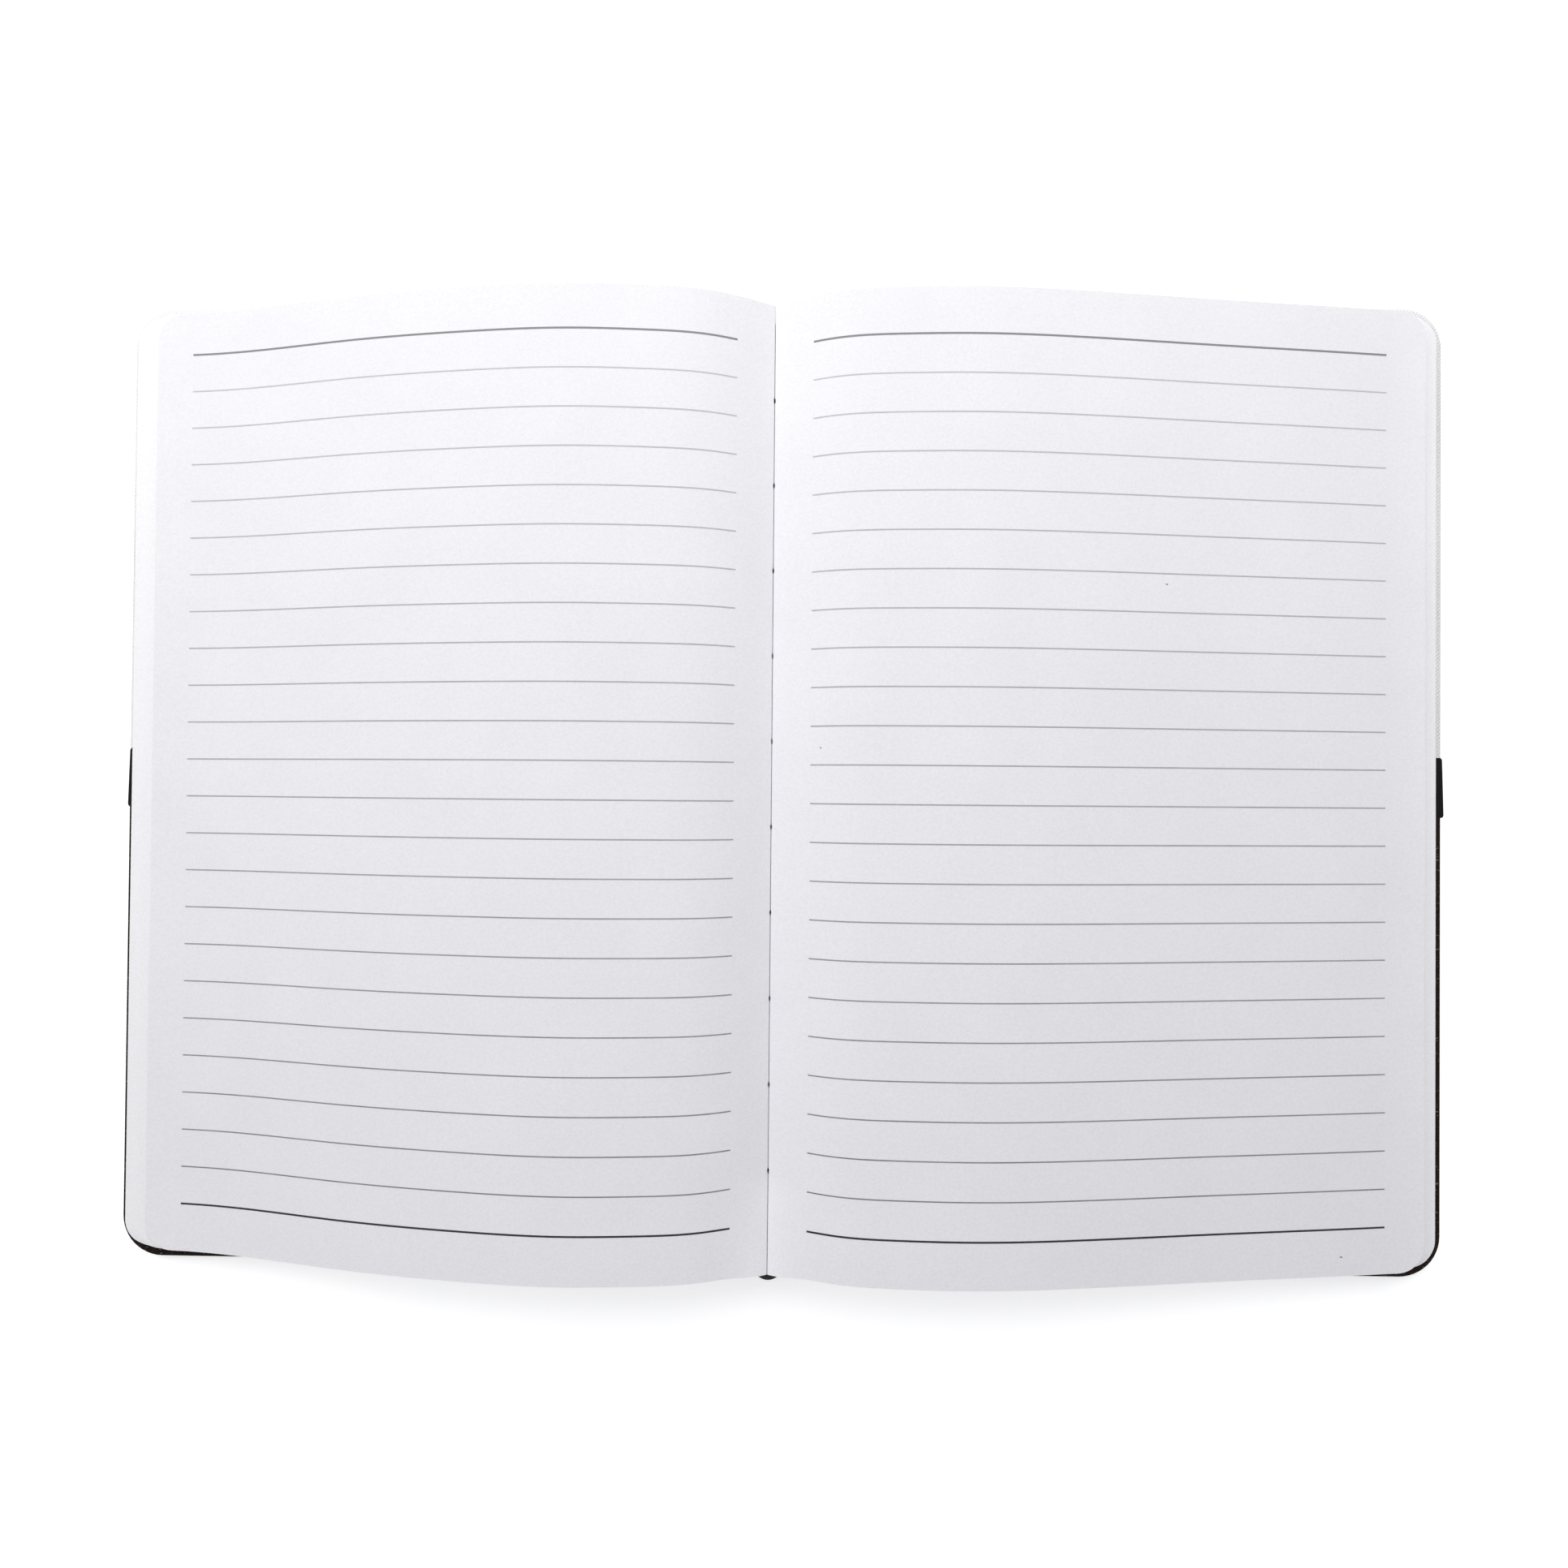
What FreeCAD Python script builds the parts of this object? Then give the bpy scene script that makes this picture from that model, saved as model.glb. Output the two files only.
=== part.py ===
import FreeCAD, Part
import os

# Open sewn notebook in a hard cloth case, lying face up on its two covers.
# +X to the right across the pages, +Y to the head of the pages, +Z up.
# Origin: under the middle of the spine, on the plane the notebook lies on.

# Page block
PAGE_HEIGHT = 203.4
PAGE_REACH = 142.1         # middle of the spine to the furthest leaf's fore-edge
PAGE_CORNER_R = 5.8
BLOCK_LIFT = 0.3           # clear space between the lowest leaf and a pastedown
FOLD_RISE = 4.8            # bottom of the gutter fold, above the lowest leaf
FOLD_X = -1.1              # the book is open a little left of the middle of its spine
# Upper leaf's arch: distance from the gutter, rise above the lowest leaf
LEFT_ARCH = [(6.0, 7.4), (14.0, 9.9), (26.0, 11.3), (42.0, 11.9), (62.0, 10.8),
             (90.0, 7.6), (120.0, 3.2)]
RIGHT_ARCH = [(6.0, 7.2), (14.0, 9.5), (26.0, 10.6), (42.0, 10.8), (62.0, 9.7),
              (90.0, 7.1), (120.0, 4.4)]
# Fanned fore-edges, upper leaf first: inset from PAGE_REACH, rise above the lowest leaf
LEFT_EDGES = [(6.4, 2.2), (3.1, 1.75), (1.8, 1.3), (0.7, 0.9), (0.0, 0.45)]
RIGHT_EDGES = [(5.1, 2.6), (4.0, 2.1), (2.4, 1.6), (1.1, 1.1), (0.6, 0.55)]
FAN_LENGTH = 30.0          # the fanned leaves are built this far in from PAGE_REACH
FAN_SLOPE = 0.06

# Case
SQUARE = 3.6               # how far the case stands out past the pages at head and tail
FORE_SQUARE = 1.9          # and past the lowest leaf at the fore-edge
COVER_CORNER_R = 9.0
CLOTH_T = 0.4
BOARD_T = 1.6
TURN_IN = 13.0             # cloth folded over the board's edges
EDGE_SOFTEN = 0.5          # roundness of the cloth where it folds over an edge
PASTEDOWN_T = 0.3
PASTEDOWN_MARGIN = 3.0     # cloth left showing around the pastedown
BAND_HEIGHT = 13.0         # ribbon across the middle of the case
BAND_CENTRE_Y = 0.5
BAND_EDGE_T = 1.0          # the ribbon stands proud of the cloth at the fore-edge
BAND_EDGE_R = 0.45

# Spine
STRIP_WIDTH = 8.0
STRIP_T = 1.0
STRIP_MARGIN = 1.3         # cloth beside the strip, up to the cover joint
JOINT_GAP = 0.3            # clear space along the cover joint
JOINT_WIDTH = 4.4          # bare cloth between the joint and the board
SPINE_TURN_IN = 10.0
SPINE_CAP = 2.4            # rolled ends of the spine cloth, out past the boards
CAP_R = 0.8
LINING_T = 0.4
LINING_WIDTH = 9.2
LINING_END_GAP = 0.2

# Sewing through the gutter fold
HOLE_COUNT = 10
HOLE_PITCH = 18.1
HOLE_LENGTH = 1.3
HOLE_WIDTH = 0.6
HOLE_DEPTH = 1.2
THREAD_R = 0.22
THREAD_LIFT = 0.33         # thread's axis above the bottom of the gutter fold

# Sizes that follow from those above
COVER_HEIGHT = PAGE_HEIGHT + 2 * SQUARE
COVER_REACH = PAGE_REACH + FORE_SQUARE
BOARD_TOP = CLOTH_T + BOARD_T
CASE_TOP = BOARD_TOP + CLOTH_T
PASTEDOWN_TOP = CASE_TOP + PASTEDOWN_T
BLOCK_Z = PASTEDOWN_TOP + BLOCK_LIFT
FOLD_Z = BLOCK_Z + FOLD_RISE
HOLE_FLOOR_Z = FOLD_Z - HOLE_DEPTH
STRIP_TOP = CLOTH_T + STRIP_T
SPINE_TOP = STRIP_TOP + max(CLOTH_T, LINING_T)
SPINE_HALF = STRIP_WIDTH / 2 + STRIP_MARGIN
COVER_START = SPINE_HALF + JOINT_GAP
BOARD_START = COVER_START + JOINT_WIDTH
BAND_LOW = BAND_CENTRE_Y - BAND_HEIGHT / 2
BAND_HIGH = BAND_CENTRE_Y + BAND_HEIGHT / 2
ABOVE = 60.0               # higher than anything in the part
FAR = 400.0                # further out than anything in the part

NODES = {}


def box(x0, x1, y0, y1, z0, z1):
    return Part.makeBox(x1 - x0, y1 - y0, z1 - z0, FreeCAD.Vector(x0, y0, z0))


def leaf_plate(x0, x1, half_y, corner_r, z0, z1):
    """A flat sheet with its two outer corners rounded, growing towards +X."""
    k = corner_r * (1 - 0.5 ** 0.5)
    pts = {
        "a": (x0, -half_y), "b": (x1 - corner_r, -half_y), "bc": (x1 - k, -half_y + k),
        "c": (x1, -half_y + corner_r), "d": (x1, half_y - corner_r), "de": (x1 - k, half_y - k),
        "e": (x1 - corner_r, half_y), "f": (x0, half_y),
    }
    v = {name: FreeCAD.Vector(x, y, z0) for name, (x, y) in pts.items()}
    edges = [
        Part.LineSegment(v["a"], v["b"]).toShape(),
        Part.Arc(v["b"], v["bc"], v["c"]).toShape(),
        Part.LineSegment(v["c"], v["d"]).toShape(),
        Part.Arc(v["d"], v["de"], v["e"]).toShape(),
        Part.LineSegment(v["e"], v["f"]).toShape(),
        Part.LineSegment(v["f"], v["a"]).toShape(),
    ]
    return Part.Face(Part.Wire(edges)).extrude(FreeCAD.Vector(0, 0, z1 - z0))


def mirror(shape):
    return shape.mirror(FreeCAD.Vector(0, 0, 0), FreeCAD.Vector(1, 0, 0))


def page_half(arch, edges, fold_x):
    """One side's leaves, growing towards +X from the fold, with a stepped fore-edge."""
    half_y = PAGE_HEIGHT / 2
    reach, edge_z = PAGE_REACH - edges[0][0], BLOCK_Z + edges[0][1]
    rise = [(fold_x, FOLD_Z)] + [(fold_x + x, BLOCK_Z + z) for x, z in arch]
    rise.append((reach, edge_z))
    curve = Part.BSplineCurve()
    curve.interpolate([FreeCAD.Vector(x, -half_y, z) for x, z in rise])
    corners = [(reach, edge_z), (reach, BLOCK_Z), (SPINE_HALF, BLOCK_Z),
               (SPINE_HALF, SPINE_TOP), (fold_x, SPINE_TOP), (fold_x, FOLD_Z)]
    corners = [FreeCAD.Vector(x, -half_y, z) for x, z in corners]
    outline = [curve.toShape()]
    outline += [Part.LineSegment(a, b).toShape() for a, b in zip(corners, corners[1:])]
    stack = Part.Face(Part.Wire(outline)).extrude(FreeCAD.Vector(0, PAGE_HEIGHT, 0))
    stack = stack.common(leaf_plate(fold_x, reach, half_y, PAGE_CORNER_R, 0.0, ABOVE))
    start = PAGE_REACH - FAN_LENGTH
    for inset, rise_z in edges[1:]:
        reach, edge_z = PAGE_REACH - inset, BLOCK_Z + rise_z
        profile = [(start, BLOCK_Z), (reach, BLOCK_Z), (reach, edge_z),
                   (start, edge_z + FAN_SLOPE * (reach - start)), (start, BLOCK_Z)]
        wire = Part.makePolygon([FreeCAD.Vector(x, -half_y, z) for x, z in profile])
        slab = Part.Face(wire).extrude(FreeCAD.Vector(0, PAGE_HEIGHT, 0))
        slab = slab.common(leaf_plate(0.0, reach, half_y, PAGE_CORNER_R, 0.0, ABOVE))
        stack = stack.fuse(slab)
    return stack


def hole_positions():
    first = -HOLE_PITCH * (HOLE_COUNT - 1) / 2
    return [first + HOLE_PITCH * i for i in range(HOLE_COUNT)]


def page_block():
    left = mirror(page_half(LEFT_ARCH, LEFT_EDGES, -FOLD_X))
    block = left.fuse(page_half(RIGHT_ARCH, RIGHT_EDGES, FOLD_X)).removeSplitter()
    for y in hole_positions():
        block = block.cut(box(FOLD_X - HOLE_WIDTH / 2, FOLD_X + HOLE_WIDTH / 2,
                              y - HOLE_LENGTH / 2, y + HOLE_LENGTH / 2, HOLE_FLOOR_Z, ABOVE))
    return block


def sewing_thread():
    """One thread along the gutter fold, dipping into each sewing hole."""
    ys = hole_positions()
    z = FOLD_Z + THREAD_LIFT
    run = Part.makeCylinder(THREAD_R, ys[-1] - ys[0], FreeCAD.Vector(FOLD_X, ys[0], z),
                            FreeCAD.Vector(0, 1, 0))
    for y in ys:
        dip = Part.makeCylinder(THREAD_R, z - HOLE_FLOOR_Z, FreeCAD.Vector(FOLD_X, y, HOLE_FLOOR_Z))
        bend = Part.makeSphere(THREAD_R, FreeCAD.Vector(FOLD_X, y, z))
        run = run.fuse([dip, bend])
    return run.removeSplitter()


def soften(plate):
    """Rounds the upper and lower edges all the way round a cover's outside."""
    edges = []
    for e in plate.Edges:
        b = e.BoundBox
        level = b.ZLength < 1e-6
        inner = b.XMax < COVER_START + 1e-3
        if level and not inner:
            edges.append(e)
    return plate.makeFillet(EDGE_SOFTEN, edges)


def cover_shell():
    """The cloth round one board: outside sheet, edge walls and turn-ins."""
    half_y = COVER_HEIGHT / 2
    shell = soften(leaf_plate(COVER_START, COVER_REACH, half_y, COVER_CORNER_R, 0.0, CASE_TOP))
    shell = shell.cut(board_solid())
    opening = box(COVER_START - 1, COVER_REACH - TURN_IN, TURN_IN - half_y, half_y - TURN_IN,
                  BOARD_TOP, CASE_TOP + 1)
    joint = box(COVER_START - 1, BOARD_START, -half_y - 1, half_y + 1, 2 * CLOTH_T, CASE_TOP + 1)
    joint_inside = box(COVER_START - 1, BOARD_START, TURN_IN - half_y, half_y - TURN_IN,
                       CLOTH_T, CASE_TOP + 1)
    return shell.cut(opening).cut(joint).cut(joint_inside)


def board_solid():
    return leaf_plate(BOARD_START, COVER_REACH - CLOTH_T, COVER_HEIGHT / 2 - CLOTH_T,
                      COVER_CORNER_R - CLOTH_T, CLOTH_T, BOARD_TOP)


def pastedown_solid():
    """Sheet over the board and the turn-ins, filled level between the turn-ins."""
    half_y = COVER_HEIGHT / 2
    sheet = leaf_plate(BOARD_START, COVER_REACH - PASTEDOWN_MARGIN, half_y - PASTEDOWN_MARGIN,
                       COVER_CORNER_R - PASTEDOWN_MARGIN, CASE_TOP, PASTEDOWN_TOP)
    infill = box(BOARD_START, COVER_REACH - TURN_IN, TURN_IN - half_y, half_y - TURN_IN,
                 BOARD_TOP, CASE_TOP)
    return sheet.fuse(infill).removeSplitter()


def band_edge():
    """The thicker fold of the ribbon round the fore-edge."""
    bar = box(COVER_REACH - CLOTH_T, COVER_REACH - CLOTH_T + BAND_EDGE_T, BAND_LOW, BAND_HIGH,
              0.0, CASE_TOP)
    outer = COVER_REACH - CLOTH_T + BAND_EDGE_T
    edges = [e for e in bar.Edges if abs(e.BoundBox.XMin - outer) < 1e-6]
    return bar.makeFillet(BAND_EDGE_R, edges)


def spine_shell():
    """The cloth under the spine strip, rolled at its two ends and turned in."""
    half_y = COVER_HEIGHT / 2
    cap_y, strip_y = half_y + SPINE_CAP, half_y - CLOTH_T
    shell = box(-SPINE_HALF, SPINE_HALF, -cap_y, cap_y, 0.0, SPINE_TOP)
    ends = [e for e in shell.Edges if e.BoundBox.YLength < 1e-6 and e.BoundBox.ZLength < 1e-6]
    shell = shell.makeFillet(CAP_R, ends)
    hollow = box(-SPINE_HALF - 1, SPINE_HALF + 1, -strip_y, strip_y, CLOTH_T, STRIP_TOP)
    opening = box(-SPINE_HALF - 1, SPINE_HALF + 1, SPINE_TURN_IN - half_y, half_y - SPINE_TURN_IN,
                  CLOTH_T, SPINE_TOP + 1)
    return shell.cut(hollow).cut(opening)


def three_fields(shell):
    """Splits a piece of the case into upper cloth, ribbon and lower cloth."""
    upper = shell.common(box(-FAR, FAR, BAND_HIGH, FAR, -1, ABOVE))
    ribbon = shell.common(box(-FAR, FAR, BAND_LOW, BAND_HIGH, -1, ABOVE))
    lower = shell.common(box(-FAR, FAR, -FAR, BAND_LOW, -1, ABOVE))
    return upper, ribbon, lower


def build_cover(name, place):
    upper, ribbon, lower = three_fields(cover_shell())
    NODES[name + "_cloth_upper"] = place(upper)
    NODES[name + "_cloth_lower"] = place(lower)
    NODES[name + "_band"] = place(ribbon.fuse(band_edge()).removeSplitter())
    NODES[name + "_board"] = place(board_solid())
    NODES[name + "_pastedown"] = place(pastedown_solid())


def build_spine():
    upper, ribbon, lower = three_fields(spine_shell())
    NODES["spine_cloth_upper"] = upper
    NODES["spine_cloth_lower"] = lower
    NODES["spine_band"] = ribbon
    strip_x, strip_y = STRIP_WIDTH / 2, COVER_HEIGHT / 2 - CLOTH_T
    NODES["spine_strip"] = box(-strip_x, strip_x, -strip_y, strip_y, CLOTH_T, STRIP_TOP)
    lining_x, lining_y = LINING_WIDTH / 2, COVER_HEIGHT / 2 - SPINE_TURN_IN - LINING_END_GAP
    NODES["spine_lining"] = box(-lining_x, lining_x, -lining_y, lining_y, STRIP_TOP,
                                STRIP_TOP + LINING_T)


def main():
    NODES["page_block"] = page_block()
    NODES["sewing_thread"] = sewing_thread()
    build_spine()
    build_cover("front", mirror)
    build_cover("back", lambda shape: shape)
    os.makedirs("parts", exist_ok=True)
    for node, shape in NODES.items():
        print(node, "valid", shape.isValid(), "solids", len(shape.Solids),
              "volume_cm3", round(shape.Volume / 1000, 3))
        shape.exportStep(os.path.join("parts", node + ".step"))


main()
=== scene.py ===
import math
import random

import bmesh
import bpy
import numpy as np
from mathutils import Matrix, Vector


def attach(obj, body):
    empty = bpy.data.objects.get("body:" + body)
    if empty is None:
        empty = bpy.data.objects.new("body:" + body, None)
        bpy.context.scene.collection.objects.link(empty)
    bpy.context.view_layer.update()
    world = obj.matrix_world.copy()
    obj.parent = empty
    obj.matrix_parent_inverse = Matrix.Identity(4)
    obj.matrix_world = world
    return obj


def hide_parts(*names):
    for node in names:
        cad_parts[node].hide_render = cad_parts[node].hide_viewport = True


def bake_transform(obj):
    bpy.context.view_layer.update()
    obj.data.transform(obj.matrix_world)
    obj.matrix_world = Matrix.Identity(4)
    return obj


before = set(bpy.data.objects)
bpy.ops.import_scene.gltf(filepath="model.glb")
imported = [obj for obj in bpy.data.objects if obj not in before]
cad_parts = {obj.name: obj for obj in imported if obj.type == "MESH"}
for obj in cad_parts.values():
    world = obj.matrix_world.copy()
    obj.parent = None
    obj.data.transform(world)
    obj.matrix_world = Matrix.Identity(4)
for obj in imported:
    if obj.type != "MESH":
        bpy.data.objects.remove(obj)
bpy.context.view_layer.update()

# All sizes are in millimetres, until a mesh or a place is scaled by MM to the frame's metres.
# Side -1 is the left page and the front cover, side 1 the right page and the back cover.
# u is a distance from the gutter fold towards a fore-edge, measured flat.
MM = 0.001
SIDES = (-1, 1)
SIDE_NAME = {-1: "left", 1: "right"}
ROOT, FRONT, BACK = "spine_and_pages", "front_cover", "back_cover"

# Sizes shared with the part's source
PAGE_HALF_Y = 101.7
PAGE_REACH = 142.1
PAGE_CORNER_R = 5.8
BLOCK_Z = 3.0              # underside of the page block on the covers
FOLD_Z = 7.8
FOLD_X = -1.1
SPINE_TOP = 1.8
ARCH = {                   # the open page: u, height above BLOCK_Z
    -1: [(6.0, 7.4), (14.0, 9.9), (26.0, 11.3), (42.0, 11.9),
         (62.0, 10.8), (90.0, 7.6), (120.0, 3.2)],
    1: [(6.0, 7.2), (14.0, 9.5), (26.0, 10.6), (42.0, 10.8),
        (62.0, 9.7), (90.0, 7.1), (120.0, 4.4)],
}
EDGES = {                  # the fanned fore-edge from the top down: inset, height above BLOCK_Z
    -1: [(6.4, 2.2), (3.1, 1.75), (1.8, 1.3), (0.7, 0.9), (0.0, 0.45)],
    1: [(5.1, 2.6), (4.0, 2.1), (2.4, 1.6), (1.1, 1.1), (0.6, 0.55)],
}
COVER_REACH = 144.0
COVER_HALF_Y = 105.3
COVER_CORNER_R = 9.0
SPINE_CAP = 2.4
BOARD_START = 10.0
BOARD_TOP = 2.0
CASE_TOP = 2.4
TURN_IN = 13.0
BAND_LOW, BAND_HIGH = -6.0, 7.0
HOLE_PITCH = 18.1
HOLE_YS = [HOLE_PITCH * (i - 4.5) for i in range(10)]

# Ruling: 24 lines a page, the first and last printed black
LINE_PITCH = 8.0
LINE_COUNT = 24
FIRST_LINE_Y = {-1: 92.48, 1: 92.08}
LINE_FROM = {-1: 8.4, 1: 8.7}        # distance along the paper from the gutter fold
LINE_TO = {-1: 128.45, 1: 130.7}
GREY_LINE_W, BLACK_LINE_W = 0.26, 0.4
LINE_STEPS = 170
INK_LIFT = 0.022


# Material helpers

def new_material(name):
    mat = bpy.data.materials.new(name)
    mat.use_nodes = True
    nt = mat.node_tree
    return mat, nt, nt.nodes["Principled BSDF"]


def coords(nt, scale=(1, 1, 1)):
    """Object coordinates in millimetres, stretched by scale."""
    tex = nt.nodes.new("ShaderNodeTexCoord")
    mapping = nt.nodes.new("ShaderNodeMapping")
    mapping.inputs["Scale"].default_value = [1000.0 * s for s in scale]
    nt.links.new(tex.outputs["Object"], mapping.inputs["Vector"])
    return mapping.outputs["Vector"]


def axes(nt, vector):
    """The sockets X, Y and Z of a vector."""
    split = nt.nodes.new("ShaderNodeSeparateXYZ")
    nt.links.new(vector, split.inputs["Vector"])
    return split.outputs


def noise(nt, vector, scale, detail=3.0, rough=0.55):
    n = nt.nodes.new("ShaderNodeTexNoise")
    n.inputs["Scale"].default_value = scale
    n.inputs["Detail"].default_value = detail
    n.inputs["Roughness"].default_value = rough
    nt.links.new(vector, n.inputs["Vector"])
    return n.outputs["Fac"]


def ramp(nt, fac, stops):
    """Colours between stops, each a position and a colour or a grey value."""
    r = nt.nodes.new("ShaderNodeValToRGB")
    cr = r.color_ramp
    while len(cr.elements) < len(stops):
        cr.elements.new(0.5)
    for e, (pos, col) in zip(cr.elements, stops):
        e.position = pos
        e.color = (*col, 1.0) if isinstance(col, tuple) else (col, col, col, 1.0)
    nt.links.new(fac, r.inputs["Fac"])
    return r.outputs["Color"]


def map_range(nt, value, low, high, from_low=0.0, from_high=1.0):
    r = nt.nodes.new("ShaderNodeMapRange")
    r.inputs["From Min"].default_value, r.inputs["From Max"].default_value = from_low, from_high
    r.inputs["To Min"].default_value, r.inputs["To Max"].default_value = low, high
    nt.links.new(value, r.inputs["Value"])
    return r.outputs["Result"]


def math_node(nt, op, a, b=None):
    m = nt.nodes.new("ShaderNodeMath")
    m.operation = op
    for i, v in enumerate((a, b)):
        if v is None:
            continue
        if isinstance(v, (int, float)):
            m.inputs[i].default_value = v
        else:
            nt.links.new(v, m.inputs[i])
    return m.outputs[0]


def weighted(nt, a, b, weight_b):
    """a + b * weight_b"""
    return math_node(nt, "ADD", a, math_node(nt, "MULTIPLY", b, weight_b))


def mix_colour(nt, fac, a, b, mode="MIX"):
    m = nt.nodes.new("ShaderNodeMix")
    m.data_type = "RGBA"
    m.blend_type = mode
    for key, v in ((0, fac), (6, a), (7, b)):       # the factor's and the two colours' sockets
        if isinstance(v, (int, float)):
            m.inputs[key].default_value = v
        elif isinstance(v, tuple):
            m.inputs[key].default_value = (*v, 1.0)
        else:
            nt.links.new(v, m.inputs[key])
    return m.outputs[2]


def bump(nt, bsdf, height, strength, distance):
    b = nt.nodes.new("ShaderNodeBump")
    b.inputs["Strength"].default_value = strength
    b.inputs["Distance"].default_value = distance * MM
    nt.links.new(height, b.inputs["Height"])
    nt.links.new(b.outputs["Normal"], bsdf.inputs["Normal"])


def surface(nt, bsdf, colour, rough_by, rough, specular):
    """Colour, a roughness that varies between two values, and the gloss's level."""
    nt.links.new(colour, bsdf.inputs["Base Color"])
    nt.links.new(map_range(nt, rough_by, *rough), bsdf.inputs["Roughness"])
    bsdf.inputs["Specular IOR Level"].default_value = specular


# Materials

def paper_material(name, base, shade, fleck=0.0):
    """Uncoated paper: fibre clouds, faint tooth and grain, and rare dark fibres."""
    mat, nt, bsdf = new_material(name)
    v = coords(nt)
    cloud = noise(nt, v, scale=0.06, detail=4.0)
    tooth = noise(nt, v, scale=2.6, detail=4.0, rough=0.7)
    colour = ramp(nt, cloud, [(0.3, shade), (0.7, base)])
    fibre = noise(nt, coords(nt, (0.5, 1.7, 1)), scale=1.1, detail=5.0, rough=0.75)
    fibre_tint = tuple(c * 0.955 for c in base)
    colour = mix_colour(nt, ramp(nt, fibre, [(0.3, 0.0), (0.75, 0.16)]), colour, fibre_tint)
    grain = noise(nt, v, scale=1.9, detail=2.0, rough=0.8)
    colour = mix_colour(nt, 1.0, colour, ramp(nt, grain, [(0.34, 0.945), (0.62, 1.0)]), "MULTIPLY")
    if fleck:
        spot = ramp(nt, noise(nt, v, scale=1.3, detail=2.0), [(0.78, 0.0), (0.82, fleck)])
        colour = mix_colour(nt, spot, colour, (0.55, 0.5, 0.44))
    surface(nt, bsdf, colour, tooth, rough=(0.62, 0.78), specular=0.25)
    bump(nt, bsdf, tooth, strength=0.12, distance=0.04)
    return mat


def weave_height(nt, pitch):
    """Plain weave: warp and weft threads that pass over each other by turns."""
    v = axes(nt, coords(nt, (1.0 / pitch, 1.0 / pitch, 1.0 / pitch)))
    sx = math_node(nt, "SINE", math_node(nt, "MULTIPLY", v["X"], math.pi))
    sy = math_node(nt, "SINE", math_node(nt, "MULTIPLY", v["Y"], math.pi))
    over = math_node(nt, "MULTIPLY", sx, sy)
    crown = math_node(nt, "ADD", math_node(nt, "ABSOLUTE", sx), math_node(nt, "ABSOLUTE", sy))
    return weighted(nt, math_node(nt, "MULTIPLY", over, 0.5), crown, 0.35), over


WEAVE_PITCH = 0.42


def cloth_material(name, warp, weft, speck, speck_from, speck_to, sheen=0.02, gloss=0.2):
    """Woven book cloth whose warp and weft have their own slubs and tints."""
    mat, nt, bsdf = new_material(name)
    height, over = weave_height(nt, WEAVE_PITCH)
    along_x = noise(nt, coords(nt, (0.35, 3.2, 1.5)), scale=0.9, detail=3.0, rough=0.7)
    along_y = noise(nt, coords(nt, (3.2, 0.35, 1.5)), scale=0.9, detail=3.0, rough=0.7)
    warp_c = ramp(nt, along_y, [(0.3, warp[0]), (0.7, warp[1])])
    weft_c = ramp(nt, along_x, [(0.3, weft[0]), (0.7, weft[1])])
    colour = mix_colour(nt, ramp(nt, over, [(0.4, 0.0), (0.6, 1.0)]), warp_c, weft_c)
    slub = noise(nt, coords(nt, (0.9, 2.4, 1.2)), scale=1.0, detail=2.0, rough=0.6)
    colour = mix_colour(nt, ramp(nt, slub, [(speck_from, 0.0), (speck_to, 0.85)]), colour, speck)
    wear = ramp(nt, noise(nt, coords(nt), scale=0.03, detail=4.0), [(0.35, 0.86), (0.75, 1.0)])
    colour = mix_colour(nt, 1.0, colour, wear, "MULTIPLY")
    surface(nt, bsdf, colour, along_x, rough=(0.72, 0.94), specular=gloss)
    bsdf.inputs["Sheen Weight"].default_value = sheen
    bsdf.inputs["Sheen Roughness"].default_value = 0.5
    bump(nt, bsdf, weighted(nt, height, slub, 0.6), strength=0.7, distance=0.12)
    return mat


RIB_TURN = 5.2             # radians of the ribbon's ribbing per millimetre


def ribbon_material(name):
    """Black ribbed ribbon with a faint sheen on its ribs."""
    mat, nt, bsdf = new_material(name)
    across = math_node(nt, "MULTIPLY", axes(nt, coords(nt))["X"], RIB_TURN)
    rib = math_node(nt, "ABSOLUTE", math_node(nt, "SINE", across))
    thread = noise(nt, coords(nt, (6.0, 1.2, 2.0)), scale=1.4, detail=3.0, rough=0.7)
    colour = ramp(nt, thread, [(0.3, (0.003, 0.003, 0.004)), (0.7, (0.010, 0.010, 0.010))])
    dust = ramp(nt, noise(nt, coords(nt), scale=1.7, detail=2.0), [(0.72, 0.0), (0.8, 0.3)])
    colour = mix_colour(nt, dust, colour, (0.06, 0.056, 0.052))
    surface(nt, bsdf, colour, thread, rough=(0.5, 0.8), specular=0.06)
    bsdf.inputs["Sheen Weight"].default_value = 0.01
    bump(nt, bsdf, weighted(nt, rib, thread, 0.4), strength=0.6, distance=0.12)
    return mat


# the colour the lines fade to at the head: painted light, as if the brighter light there washed
# them out
INK_LIT_AT_HEAD = (0.80, 0.80, 0.82)
INK_FROM_Y, INK_TO_Y = -95.0, 95.0


def ink_material(name, dark, light, paler):
    """Printed ink that thins where the paper's tooth lets it, and is painted paler towards the
    head, standing in for the stronger light there.
    """
    mat, nt, bsdf = new_material(name)
    grain = noise(nt, coords(nt), scale=5.0, detail=3.0, rough=0.7)
    run = noise(nt, coords(nt, (0.12, 0.4, 1)), scale=1.0, detail=2.0)
    cover = weighted(nt, math_node(nt, "MULTIPLY", grain, 0.6), run, 0.4)
    printed = ramp(nt, cover, [(0.3, dark), (0.72, light)])
    # painted light: paler towards the head, where the page is lit most
    thin = map_range(nt, axes(nt, coords(nt))["Y"], 0.0, paler, INK_FROM_Y, INK_TO_Y)
    colour = mix_colour(nt, thin, printed, INK_LIT_AT_HEAD)
    surface(nt, bsdf, colour, grain, rough=(0.55, 0.75), specular=0.25)
    return mat


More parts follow.
